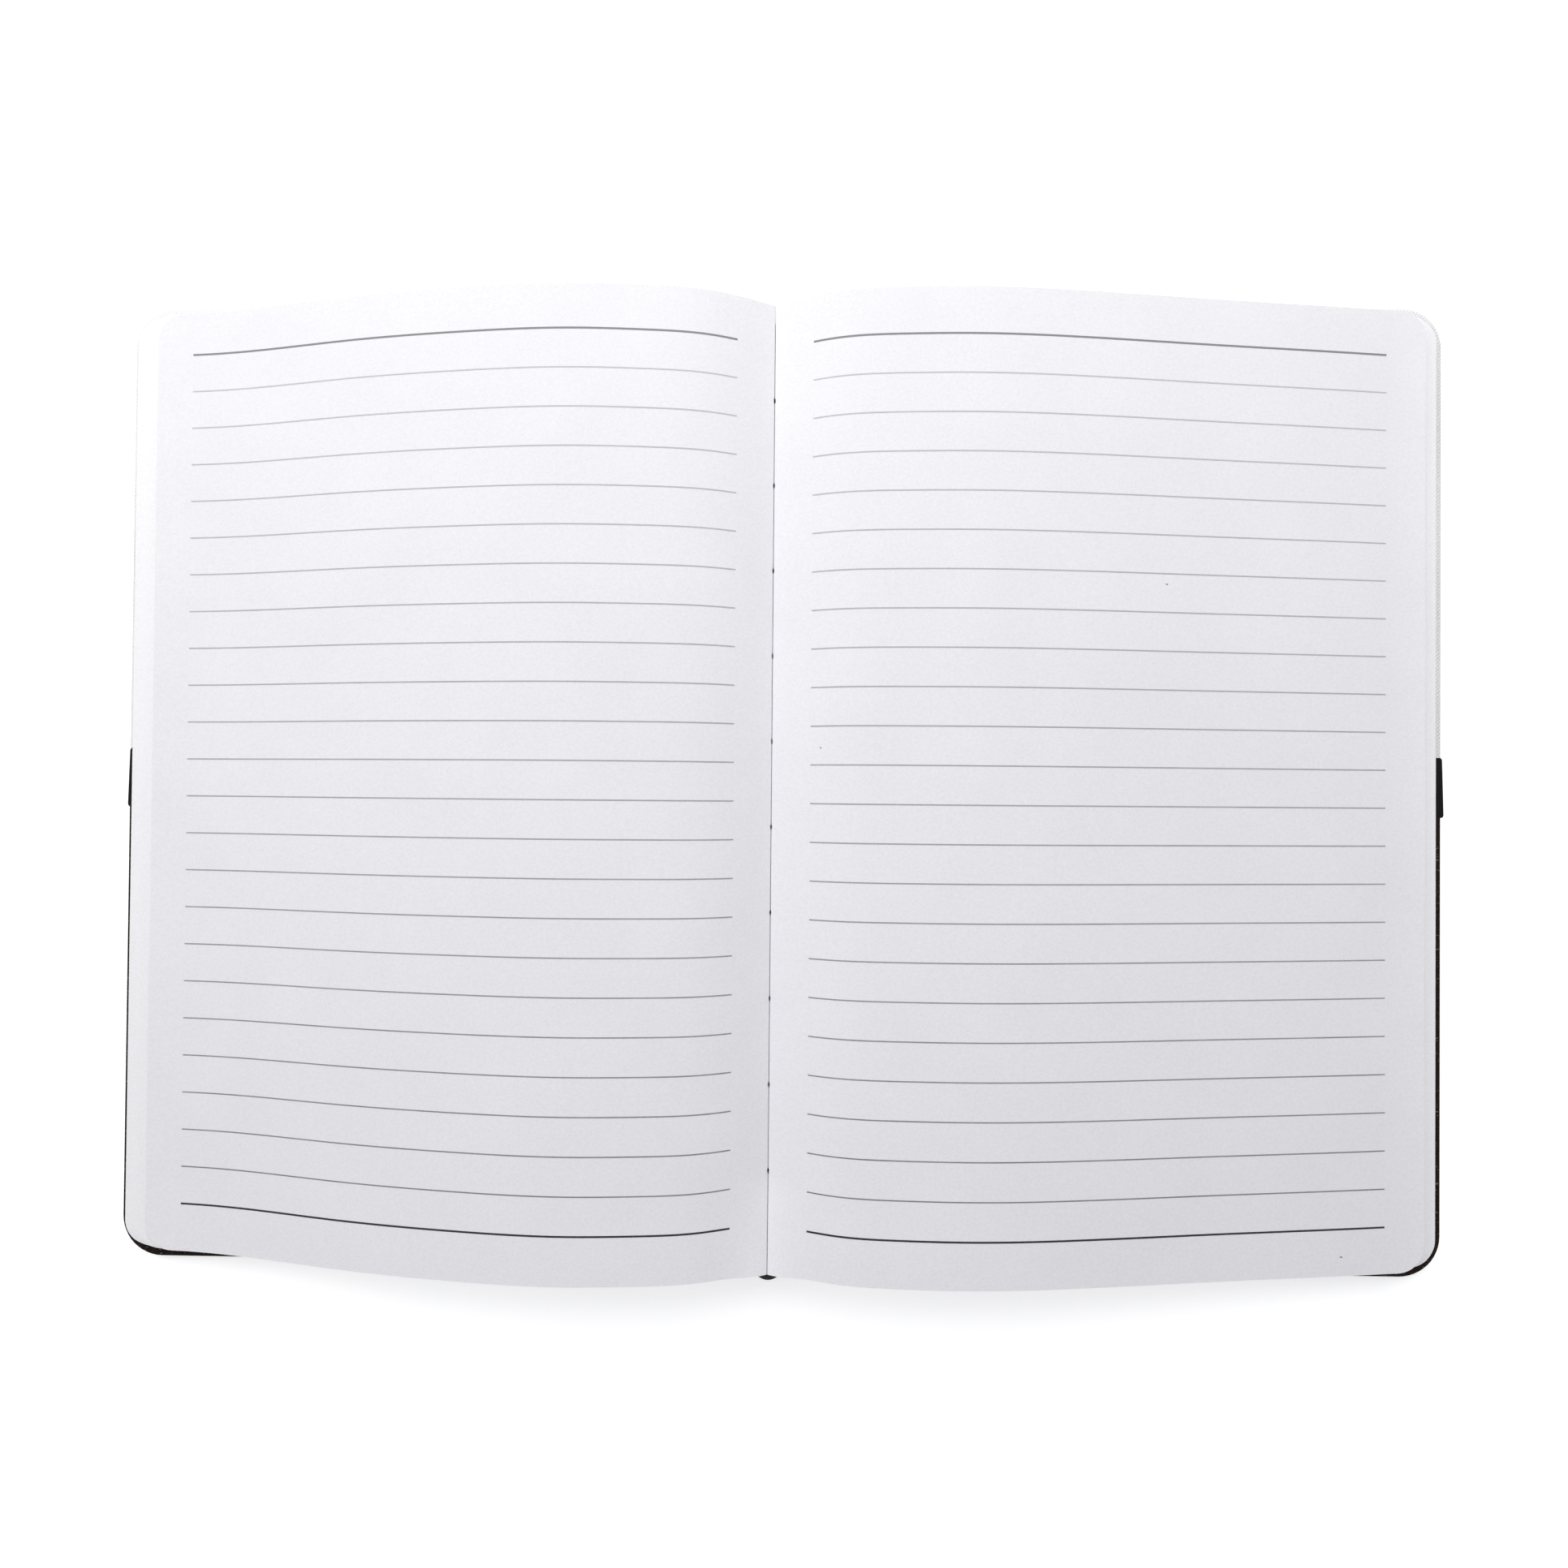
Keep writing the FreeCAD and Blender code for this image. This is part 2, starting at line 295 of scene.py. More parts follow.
def board_material(name):
    """Grey board: recycled fibres in layers."""
    mat, nt, bsdf = new_material(name)
    layer = noise(nt, coords(nt, (0.25, 0.25, 5.0)), scale=1.6, detail=4.0, rough=0.7)
    fibre = noise(nt, coords(nt), scale=1.8, detail=4.0, rough=0.7)
    colour = ramp(nt, layer, [(0.3, (0.27, 0.25, 0.22)), (0.7, (0.42, 0.39, 0.35))])
    spots = ramp(nt, fibre, [(0.64, 0.0), (0.7, 0.5)])
    colour = mix_colour(nt, spots, colour, (0.14, 0.13, 0.14))
    surface(nt, bsdf, colour, fibre, rough=(0.8, 0.95), specular=0.5)
    bump(nt, bsdf, fibre, strength=0.4, distance=0.1)
    return mat


MAT = {
    "page": paper_material("page_paper", (0.885, 0.88, 0.912), (0.865, 0.86, 0.888), fleck=0.10),
    # the leaves are the page's own paper, painted lighter to stand in for the light that their
    # fanned fore-edge catches
    "leaf": paper_material("leaf_paper_painted_light", (0.95, 0.945, 0.965), (0.935, 0.93, 0.95)),
    "endpaper": paper_material("endpaper", (0.92, 0.915, 0.93), (0.89, 0.885, 0.895), fleck=0.1),
    "lining": paper_material("lining_paper", (0.74, 0.71, 0.64), (0.66, 0.63, 0.56), fleck=0.3),
    # a dark colour painted as the shade inside the sewing holes
    "hole": paper_material("hole_painted_shade", (0.10, 0.09, 0.09), (0.05, 0.045, 0.045)),
    "thread": paper_material("thread_cotton", (0.90, 0.885, 0.87), (0.78, 0.77, 0.75)),
    "fleck": paper_material("fleck_fibre", (0.36, 0.33, 0.30), (0.22, 0.20, 0.18)),
    "black_ink": ink_material("black_ink", (0.005, 0.005, 0.006), (0.04, 0.039, 0.041), paler=0.30),
    "grey_ink": ink_material("grey_ink", (0.12, 0.12, 0.125), (0.33, 0.33, 0.34), paler=0.62),
    "light": cloth_material(
        "light_cloth", warp=((0.88, 0.875, 0.865), (0.94, 0.938, 0.93)),
        weft=((0.86, 0.855, 0.84), (0.935, 0.93, 0.92)), speck=(0.76, 0.73, 0.68),
        speck_from=0.70, speck_to=0.80),
    "dark": cloth_material(
        "dark_cloth", warp=((0.004, 0.003, 0.003), (0.024, 0.015, 0.012)),
        weft=((0.006, 0.004, 0.004), (0.040, 0.024, 0.018)), speck=(0.27, 0.20, 0.15),
        speck_from=0.62, speck_to=0.70, sheen=0.0, gloss=0.06),
    "spine_dark": cloth_material(
        "spine_dark_cloth", warp=((0.006, 0.006, 0.006), (0.030, 0.029, 0.030)),
        weft=((0.008, 0.008, 0.008), (0.048, 0.046, 0.046)), speck=(0.13, 0.125, 0.12),
        speck_from=0.64, speck_to=0.72, gloss=0.3),
    "ribbon": ribbon_material("black_ribbon"),
    "board": board_material("grey_board"),
}


# Mesh helpers

def mesh_object(name, verts, faces, mats, face_mats=None):
    me = bpy.data.meshes.new(name)
    me.from_pydata([(x * MM, y * MM, z * MM) for x, y, z in verts], [], faces)
    for m in mats:
        me.materials.append(MAT[m])
    if face_mats:
        me.polygons.foreach_set("material_index", face_mats)
    me.polygons.foreach_set("use_smooth", [True] * len(me.polygons))
    me.update()
    ob = bpy.data.objects.new(name, me)
    bpy.context.scene.collection.objects.link(ob)
    return ob


def grid(rows, n, base=0, closed=False, flip=False):
    """Faces between rows of n points each, which follow one another from number base."""
    faces = []
    for r in range(rows - 1):
        a, b = base + r * n, base + (r + 1) * n
        for j in range(n if closed else n - 1):
            k = (j + 1) % n
            quad = [a + j, a + k, b + k, b + j]
            faces.append(quad[::-1] if flip else quad)
    return faces


def recalc(ob):
    """Turns all faces outwards."""
    bm = bmesh.new()
    bm.from_mesh(ob.data)
    bmesh.ops.recalc_face_normals(bm, faces=bm.faces)
    bm.to_mesh(ob.data)
    bm.free()


def sharp_edges(ob, degrees):
    ob.data.set_sharp_from_angle(angle=math.radians(degrees))


def thicken(ob, thickness, degrees=50.0):
    """Gives an open sheet its real thickness, inwards, with crisp cut edges."""
    mod = ob.modifiers.new("thickness", "SOLIDIFY")
    mod.thickness = thickness * MM
    mod.offset = -1.0
    deps = bpy.context.evaluated_depsgraph_get()
    me = bpy.data.meshes.new_from_object(ob.evaluated_get(deps))
    me.name = ob.name
    ob.modifiers.clear()
    ob.data = me
    sharp_edges(ob, degrees)


class Spline:
    """Natural cubic through (u, z) points, straight past its last one."""

    def __init__(self, pts):
        self.x = np.array([p[0] for p in pts], float)
        self.y = np.array([p[1] for p in pts], float)
        n, h = len(pts), np.diff(self.x)
        a = np.eye(n)
        b = np.zeros(n)
        for i in range(1, n - 1):
            a[i, i - 1], a[i, i], a[i, i + 1] = h[i - 1], 2 * (h[i - 1] + h[i]), h[i]
            b[i] = 6 * ((self.y[i + 1] - self.y[i]) / h[i] - (self.y[i] - self.y[i - 1]) / h[i - 1])
        self.m = np.linalg.solve(a, b)
        self.h = h
        self.end_slope = (self.y[-1] - self.y[-2]) / h[-1] + h[-1] * self.m[-2] / 6

    def __call__(self, u):
        u = np.asarray(u, float)
        i = np.clip(np.searchsorted(self.x, u) - 1, 0, len(self.h) - 1)
        a, b = self.x[i + 1] - u, u - self.x[i]
        h, m = self.h[i], self.m
        z = (m[i] * a ** 3 + m[i + 1] * b ** 3) / (6 * h)
        z += (self.y[i] / h - m[i] * h / 6) * a + (self.y[i + 1] / h - m[i + 1] * h / 6) * b
        return np.where(u > self.x[-1], self.y[-1] + self.end_slope * (u - self.x[-1]), z)


# The pages' curves

def leaf_reach(side, inset):
    """Distance from the fold to a leaf's fore-edge."""
    return PAGE_REACH - inset - side * FOLD_X


def page_curve(side):
    """The open page's section, from the fold to the fore-edge."""
    inset, rise = EDGES[side][0]
    pts = [(0.0, FOLD_Z)] + [(u, BLOCK_Z + z) for u, z in ARCH[side]]
    return Spline(pts + [(leaf_reach(side, inset), BLOCK_Z + rise)])


OPEN_REACH = {side: leaf_reach(side, EDGES[side][0][0]) for side in SIDES}
TOP = {side: page_curve(side) for side in SIDES}
BLOCK_STEP_X, BLOCK_STEP_WIDTH = 4.9, 0.9
EDGE_CURL = {-1: 0.40, 1: 0.55}      # how far the open page's fore-edge curls up
EDGE_CURL_WIDTH = 9.0
# The sheet's waves and ripples: turns a millimetre of y and u, and shifts, in radians
WAVE_HEIGHT, WAVE_FADE = 0.045, 40.0
WAVE_Y, WAVE_U, WAVE_SHIFT, WAVE_START = 0.061, 0.047, 1.3, 0.6
RIPPLE_Y, RIPPLE_U, RIPPLE_SHARE = 0.118, 0.03, 0.6
TAIL_LIFT, TAIL_LIFT_FROM, TAIL_LIFT_WIDTH = 2.1, -84.0, 6.0


def block_floor(side, u):
    """Underside of the page block: down to the spine near the gutter."""
    x = u + side * FOLD_X
    k = min(max((x - BLOCK_STEP_X) / BLOCK_STEP_WIDTH, 0.0), 1.0)
    return SPINE_TOP + (BLOCK_Z - SPINE_TOP) * k * k * (3 - 2 * k)


def tail_lift(u, y):
    """The gutter fold is less deep in its last stretch at the tail."""
    along = min(max((TAIL_LIFT_FROM - y) / (TAIL_LIFT_FROM + PAGE_HALF_Y), 0.0), 1.0)
    return TAIL_LIFT * along * math.exp(-(u / TAIL_LIFT_WIDTH) ** 2)


def wave(side, u, y):
    """Slight waviness of the open sheet, none at the gutter fold."""
    fade = min(max(u / WAVE_FADE, 0.0), 1.0)
    long_wave = math.sin(y * WAVE_Y + WAVE_SHIFT * side) * math.sin(u * WAVE_U + WAVE_START)
    ripple = math.sin(y * RIPPLE_Y - u * RIPPLE_U + side)
    return WAVE_HEIGHT * fade * (long_wave + RIPPLE_SHARE * ripple)


def page_height(side, u, y):
    """The open page's surface: its arch, its waves, its curled edge and its lift at the tail."""
    curl = min(max((u - OPEN_REACH[side] + EDGE_CURL_WIDTH) / EDGE_CURL_WIDTH, 0.0), 1.0) ** 2
    return float(TOP[side](u)) + wave(side, u, y) + EDGE_CURL[side] * curl + tail_lift(u, y)


def half_height(u, reach, corner_r=PAGE_CORNER_R):
    """Half the sheet's height at u, following its rounded corner."""
    past = u - (reach - corner_r)
    if past <= 0:
        return PAGE_HALF_Y
    return PAGE_HALF_Y - corner_r + math.sqrt(max(corner_r ** 2 - past ** 2, 0.0))


CORNER_STEPS = 10


def columns(reach, near, step, corner_r=PAGE_CORNER_R):
    """Distances from the gutter, closer together near the fold and in the rounded corner."""
    bend, last = reach - corner_r, near[-1]
    count = max(2, int((bend - last) / step))
    mid = [last + (bend - last) * i / count for i in range(1, count + 1)]
    turns = [math.pi / 2 * i / CORNER_STEPS for i in range(1, CORNER_STEPS + 1)]
    return near + mid + [bend + corner_r * math.sin(a) for a in turns]


# Page block

# The open sheet's inner edge turns down into the fold: u, drop
FOLD_LIP = [(0.045, 0.60), (0.05, 0.28), (0.065, 0.08), (0.11, 0.01), (0.30, 0.0)]
NEAR = [0.6, 0.9, 1.4, 2.0, 2.8, 3.8, 5.0, 6.4, 8.0, 10.0]
PAGE_ROWS, PAGE_STEP = 45, 1.3
SLIT_HALF, SLIT_WIDEN = 0.60, 0.12
SLIT_COLUMNS, SLIT_SHADE_COLUMNS = 4, 2        # columns that a hole widens, and that get its painted shade
SLIT_CLEAR = 1.2                               # the page's even rows keep this far from a hole
SLIT_ROWS = (-0.9, -0.6, -0.45, -0.25, 0.0, 0.25, 0.45, 0.6, 0.9)


def slit(y):
    """1 in the middle of a sewing hole, 0 outside it."""
    near = min(abs(y - hy) for hy in HOLE_YS)
    return max(0.0, 1.0 - (near / SLIT_HALF) ** 2)


def build_upper_leaf(side):
    """The open page itself: dense, gently wavy, with the sewing holes slit into its fold."""
    us = columns(OPEN_REACH[side], [u for u, drop in FOLD_LIP] + NEAR, PAGE_STEP)
    drops = [drop for u, drop in FOLD_LIP] + [0.0] * (len(us) - len(FOLD_LIP))
    ys = set(np.linspace(-PAGE_HALF_Y, PAGE_HALF_Y, PAGE_ROWS).round(4))
    for hy in HOLE_YS:
        ys = {y for y in ys if abs(y - hy) > SLIT_CLEAR}
        ys |= {round(hy + d, 4) for d in SLIT_ROWS}
    ys = sorted(ys)
    verts = []
    for i, (u, drop) in enumerate(zip(us, drops)):
        hh = half_height(u, OPEN_REACH[side])
        for row in ys:
            y = row * hh / PAGE_HALF_Y
            x = u + (SLIT_WIDEN * slit(y) if i < SLIT_COLUMNS else 0.0)
            verts.append((FOLD_X + side * x, y, page_height(side, u, y) - drop))
    # the slit's faces get the holes' painted shade
    shaded = [1 if slit((a + b) / 2) > 0 else 0 for a, b in zip(ys, ys[1:])]
    mats = shaded * SLIT_SHADE_COLUMNS + [0] * (len(shaded) * (len(us) - 1 - SLIT_SHADE_COLUMNS))
    faces = grid(len(us), len(ys), flip=side > 0)
    ob = mesh_object(SIDE_NAME[side] + "_page", verts, faces, ["page", "hole"], mats)
    thicken(ob, LEAF_T)
    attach(ob, ROOT)
    return ob


LEAVES = 34                # under each open page
LEAF_T = 0.06
LEAF_SEED = {-1: 11, 1: 29}
LEAF_SHIFT = 0.12          # most that a leaf lies off along the page, and off its even depth
LAST_GAP = 0.6             # room under the lowest leaf, in leaves
LEAST_DEPTH, MOST_DEPTH = 0.02, 0.98
EDGE_STRAY = (-0.16, 0.10)
LEAF_FROM, LEAF_STEP = 0.4, 4.2
IN_SECTION = 0.65          # how much a leaf's edge keeps to its section's
UPPER_LEAF_LESS = 0.15     # the uppermost leaves show less at head and tail
LOW_CORNER_LESS = 0.7      # the lowest leaves' corners are less rounded
LEAF_TAIL_LIFT = 0.85
ROW_POINTS = 8             # four places along the fold, each with an upper and a lower point


def edge_at(side, t, rng):
    """Reach of a leaf whose share of the way down is t; leaves lie in small sections."""
    insets = [e[0] for e in EDGES[side]]
    shares = [1.0 - e[1] / EDGES[side][0][1] for e in EDGES[side]]
    even = np.interp(t, shares, insets)
    section = insets[min(range(len(shares)), key=lambda k: abs(shares[k] - t))]
    inset = (1 - IN_SECTION) * even + IN_SECTION * section
    return leaf_reach(side, inset) + rng.uniform(*EDGE_STRAY)


def build_leaves(side):
    """The leaves under the open page, each a thin curved sheet of its own."""
    rng = random.Random(LEAF_SEED[side])
    verts, faces = [], []
    for k in range(1, LEAVES + 1):
        t = k / (LEAVES + LAST_GAP)
        t += rng.uniform(-LEAF_SHIFT, LEAF_SHIFT) / LEAVES
        t = min(max(t, LEAST_DEPTH), MOST_DEPTH)
        reach = min(edge_at(side, t, rng), leaf_reach(side, 0.0))
        dy = rng.uniform(-LEAF_SHIFT, LEAF_SHIFT)
        corner_r = PAGE_CORNER_R - LOW_CORNER_LESS * t
        us = columns(reach, [LEAF_FROM] + NEAR, LEAF_STEP, corner_r)
        base = len(verts)
        for u in us:
            hh = half_height(u, reach, corner_r) - UPPER_LEAF_LESS * (1 - t)
            top, low = float(TOP[side](u)), block_floor(side, u)
            z = max(low + (top - low) * (1 - t), low + LEAF_T)
            for y in (-hh, TAIL_LIFT_FROM, 0.0, hh):
                up = LEAF_TAIL_LIFT * (1 - t) * tail_lift(u, y)
                verts.append((FOLD_X + side * u, y + dy, z + up))
                verts.append((FOLD_X + side * u, y + dy, z + up - LEAF_T))
        last = base + (len(us) - 1) * ROW_POINTS
        for a in range(base, last, ROW_POINTS):
            b = a + ROW_POINTS
            for j in (0, 2, 4):
                faces.append([a + j, a + j + 2, b + j + 2, b + j])
                faces.append([b + j + 1, b + j + 3, a + j + 3, a + j + 1])
            faces.append([a, b, b + 1, a + 1])
            faces.append([a + 7, b + 7, b + 6, a + 6])
        for j in (0, 2, 4):
            faces.append([last + j, last + j + 2, last + j + 3, last + j + 1])
    # their paper is painted lighter than the open page's, as painted light on the fore-edge
    ob = mesh_object(SIDE_NAME[side] + "_leaves", verts, faces, ["leaf"])
    recalc(ob)
    sharp_edges(ob, degrees=40)
    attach(ob, ROOT)
    return ob


CORE_PROFILE = [(-4.0, SPINE_TOP), (-4.1, 3.0), (-2.6, 5.6), (-0.5, 6.6), (0.0, 6.45), (0.5, 6.6),
                (2.6, 5.6), (5.1, 3.0), (5.0, SPINE_TOP)]
CORE_CROWN = (3, 4)        # the faces either side of the crown's middle
CORE_SHOULDER_Z = 5.0      # the points above it follow the fold's lift at the tail
CORE_TAIL_LIFT = 0.8
CORE_END_GAP = 3.0         # the leaves' own edges hide the core's ends
CORE_HOLE_HALF = 0.7


def build_fold_core():
    """Folded backs of the sections, glued to the spine lining, with painted shade inside the holes.
    """
    half_y = PAGE_HALF_Y - CORE_END_GAP
    holes = sorted(hy + d for hy in HOLE_YS for d in (-CORE_HOLE_HALF, CORE_HOLE_HALF))
    rows = [-half_y, TAIL_LIFT_FROM] + holes + [half_y]
    verts, mats = [], []
    for y in rows:
        for x, z in CORE_PROFILE:
            up = CORE_TAIL_LIFT * tail_lift(abs(x), y) if z > CORE_SHOULDER_Z else 0.0
            verts.append((FOLD_X + x, y, z + up))
    n = len(CORE_PROFILE)
    for a, b in zip(rows, rows[1:]):
        mats += [1 if j in CORE_CROWN and slit((a + b) / 2) > 0 else 0 for j in range(n)]
    faces = grid(len(rows), n, closed=True)
    faces.append(list(range(n)))
    faces.append([(len(rows) - 1) * n + j for j in range(n)])
    ob = mesh_object("section_folds", verts, faces, ["leaf", "hole"], mats + [0, 0])
    recalc(ob)
    sharp_edges(ob, degrees=40)
    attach(ob, ROOT)
    return ob


ARC_STEPS = 1200


def line_ends(side):
    """Where the printed lines start and end, turned from paper length into u."""
    us = np.linspace(0.0, OPEN_REACH[side], ARC_STEPS)
    zs = TOP[side](us)
    arc = np.concatenate([[0.0], np.cumsum(np.hypot(np.diff(us), np.diff(zs)))])
    return np.interp([LINE_FROM[side], LINE_TO[side]], arc, us)


def build_ruling(side):
    """24 printed lines that follow the arch of the page."""
    u0, u1 = line_ends(side)
    verts, faces, mats = [], [], []
    for j in range(LINE_COUNT):
        y = FIRST_LINE_Y[side] - LINE_PITCH * j
        black = j in (0, LINE_COUNT - 1)
        half = (BLACK_LINE_W if black else GREY_LINE_W) / 2
        faces += grid(LINE_STEPS + 1, 2, base=len(verts), flip=side > 0)
        mats += [0 if black else 1] * LINE_STEPS
        for i in range(LINE_STEPS + 1):
            u = u0 + (u1 - u0) * i / LINE_STEPS
            x, z = FOLD_X + side * u, page_height(side, u, y) + INK_LIFT
            verts += [(x, y - half, z), (x, y + half, z)]
    ob = mesh_object(SIDE_NAME[side] + "_ruling", verts, faces, ["black_ink", "grey_ink"], mats)
    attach(ob, ROOT)
    return ob


THREAD_Z = FOLD_Z - 0.72   # between two holes
THREAD_DIP, THREAD_DIP_HALF = 0.45, 0.36
RAISED_HOLES = (5, 6)      # here the thread rises instead of diving
THREAD_PAST = 0.05         # past the first and the last hole
THREAD_STEPS, THREAD_SIDES = 2100, 5
PLY_R, LAY_R, LAY_PITCH = 0.05, 0.045, 0.95


def thread_height(y):
    """Height of the thread's middle at y."""
    k = min(range(len(HOLE_YS)), key=lambda i: abs(y - HOLE_YS[i]))
    dip = -THREAD_DIP if k in RAISED_HOLES else THREAD_DIP
    return THREAD_Z - dip * math.exp(-((y - HOLE_YS[k]) / THREAD_DIP_HALF) ** 2)


def build_thread():
    """Two-ply cotton that lies in the fold and dives through the holes, higher in two of them."""
    verts, faces = [], []
    y0, y1 = HOLE_YS[0] - THREAD_PAST, HOLE_YS[-1] + THREAD_PAST
    for ply in range(2):
        base = len(verts)
        for i in range(THREAD_STEPS + 1):
            y = y0 + (y1 - y0) * i / THREAD_STEPS
            a = 2 * math.pi * (y / LAY_PITCH) + math.pi * ply
            cx, cz = FOLD_X + LAY_R * math.cos(a), thread_height(y) + LAY_R * math.sin(a)
            for s in range(THREAD_SIDES):
                b = 2 * math.pi * s / THREAD_SIDES
                verts.append((cx + PLY_R * math.cos(b), y, cz + PLY_R * math.sin(b)))
        faces += grid(THREAD_STEPS + 1, THREAD_SIDES, base, closed=True)
        for end in (base, base + THREAD_STEPS * THREAD_SIDES):
            faces.append([end + s for s in range(THREAD_SIDES)])
    ob = mesh_object("thread_plies", verts, faces, ["thread"])
    recalc(ob)
    sharp_edges(ob, degrees=80)
    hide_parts("sewing_thread")
    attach(ob, ROOT)
    return ob


FLECKS = ((80.1, 41.9, 0.20, 0.4), (118.7, -97.7, 0.24, 1.3), (9.1, 7.6, 0.18, 2.2))
FLECK_SIDES = 9
FLECK_LIFT, FLECK_H = 0.03, 0.05
FLECK_RAGGED, FLECK_LENGTH, FLECK_WIDTH = 0.35, 1.3, 0.7


def build_flecks():
    """Three tiny paper flecks on the right page, each an x, a y, a radius and a turn."""
    verts, faces = [], []
    for x, y, r, turn in FLECKS:
        z = page_height(1, x - FOLD_X, y) + FLECK_LIFT
        base = len(verts)
        verts.append((x, y, z + FLECK_H))
        for i in range(FLECK_SIDES):
            a = 2 * math.pi * i / FLECK_SIDES
            rr = r * (1 + FLECK_RAGGED * math.sin(3 * a + turn))
            verts.append((x + rr * math.cos(a + turn) * FLECK_LENGTH,
                          y + rr * math.sin(a + turn) * FLECK_WIDTH, z))
            faces.append([base, base + 1 + i, base + 1 + (i + 1) % FLECK_SIDES])
    ob = mesh_object("paper_flecks", verts, faces, ["fleck"])
    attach(ob, ROOT)
    return ob


# Case

CLOTH_T = 0.3              # thickness of the cloth and ribbon skins
OUTSIDE_BELOW_Z = 0.01     # the points lower than this are on the case's outside
TURN_IN_Z = BOARD_TOP + 0.02         # the cut edge of the turned-in cloth
# Rings of a cover's skin, from the turn-in over the edge to the outside: inset, height
SKIN = [(TURN_IN, TURN_IN_Z), (TURN_IN - 0.25, CASE_TOP - 0.1), (TURN_IN - 1.0, CASE_TOP),
        (10.0, CASE_TOP), (7.0, CASE_TOP), (5.0, CASE_TOP), (3.6, CASE_TOP), (2.4, CASE_TOP),
        (1.3, CASE_TOP), (0.75, CASE_TOP - 0.02), (0.42, CASE_TOP - 0.12), (0.16, CASE_TOP - 0.36),
        (0.03, CASE_TOP - 0.7), (0.0, 1.2), (0.03, 0.7), (0.16, 0.34), (0.42, 0.12), (0.8, 0.02),
        (1.4, 0.0), (4.0, 0.0), (9.0, 0.0)]
PLEAT_H, PLEAT_TURNS, PLEAT_ABOVE_Z, PLEAT_FULL = 0.10, 7.0, 2.2, 2.0
RIM_HEAD_STEPS, RIM_CORNER_STEPS, RIM_SIDE_STEPS = 14, 12, 12
MIN_CORNER_R = 0.3


def rim_path(y_end, inset):
    """A cover's outline, inset: from the joint round the corner and down to y_end."""
    r = max(COVER_CORNER_R - inset, MIN_CORNER_R)
    back = max(COVER_CORNER_R, inset + MIN_CORNER_R)
    cx, cy = COVER_REACH - back, COVER_HALF_Y - back
    pts = []
    for i in range(RIM_HEAD_STEPS + 1):
        pts.append((BOARD_START + (cx - BOARD_START) * i / RIM_HEAD_STEPS, COVER_HALF_Y - inset))
    for i in range(1, RIM_CORNER_STEPS + 1):
        a = math.pi / 2 * (1 - i / RIM_CORNER_STEPS)
        pts.append((cx + r * math.cos(a), cy + r * math.sin(a)))
    for i in range(1, RIM_SIDE_STEPS):
        pts.append((COVER_REACH - inset, cy - (cy - y_end) * i / RIM_SIDE_STEPS))
    pts.append((COVER_REACH - inset, y_end))
    return pts


def skin_field(name, side, upper, mat):
    """Upper or lower cloth of one cover: outside sheet, rounded edge and pleated turn-in."""
    flip = 1 if upper else -1
    stop = BAND_HIGH if upper else -BAND_LOW
    corner_x, corner_y = COVER_REACH - COVER_CORNER_R, COVER_HALF_Y - COVER_CORNER_R
    verts = []
    for inset, z in SKIN:
        ring = rim_path(stop, inset)
        for x, y in ring:
            pleat = 0.0
            if z > PLEAT_ABOVE_Z and x > corner_x and y > corner_y:
                angle = math.atan2(y - corner_y, x - corner_x)
                pleat = PLEAT_H * abs(math.sin(angle * PLEAT_TURNS)) * min(1.0, inset / PLEAT_FULL)
            verts.append((side * x, flip * y, z + pleat))
    n = len(ring)
    faces = grid(len(SKIN), n)
    faces.append(list(range(len(verts) - n, len(verts) + 1)))      # the sheet inside the last ring
    verts.append((side * BOARD_START, flip * stop, 0.0))
    ob = mesh_object(name, verts, faces, [mat])
    recalc(ob)
    thicken(ob, CLOTH_T)
    body = FRONT if side < 0 else BACK
    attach(ob, body)
    return ob


BAND_PROUD = {-1: 0.3, 1: 0.6}     # the ribbon's fold stands out past the cloth
BAND_FOLD_R, BAND_FOLD_STEPS = 0.6, 6
BAND_CUT_SLOPE, BAND_FLAT = 0.3, 12
BAND_STEP, RIB_H = 0.6, 0.05       # along the outside, every second row stands up as a rib
RIBS_END, PULL_END = 1.0, 0.3      # where ribs stop and the pull starts, from the fore-edge
BAND_ROWS = 8
BAND_ROLL, BAND_ROLL_WIDTH, BAND_ROLL_ROW = 0.12, 0.5, 0.15
BAND_LOOSE = 0.35                  # the fold stands out more towards the tail


